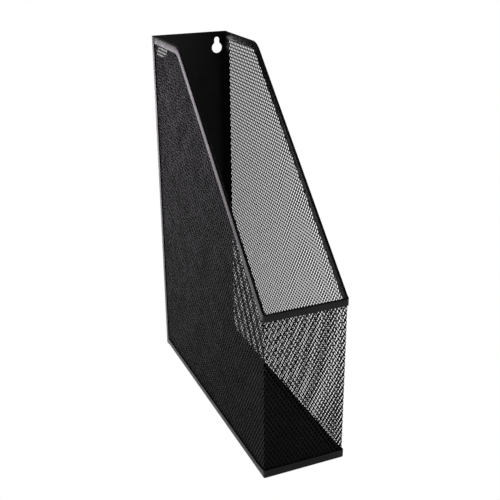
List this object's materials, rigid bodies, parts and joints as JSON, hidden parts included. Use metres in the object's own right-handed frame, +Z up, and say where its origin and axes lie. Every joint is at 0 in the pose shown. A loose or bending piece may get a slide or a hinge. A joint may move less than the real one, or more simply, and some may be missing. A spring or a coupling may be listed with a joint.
{
  "type": "magazine file holder",
  "caption": "Free-standing steel magazine file: narrow mesh box with a sloping open top, low front, tall keyholed back plate, folded rim and base tray.",
  "frame": {"origin": "middle of the underside, on the surface the holder stands on", "axes": "+X across the width, +Y towards the tall back plate, so the low front faces -Y, +Z up"},
  "size_m": [0.0724, 0.25, 0.315],
  "materials": {
    "black_sheet": "satin black powder coat on plain sheet steel",
    "black_mesh": "satin black powder coat on expanded steel mesh"
  },
  "bodies": {
    "root": {"back_plate": "black_sheet", "base_tray": "black_sheet", "mesh_left": "black_mesh", "mesh_front": "black_mesh", "mesh_right": "black_mesh", "rim_left": "black_sheet", "rim_front": "black_sheet", "rim_right": "black_sheet"}
  },
  "joints": []
}
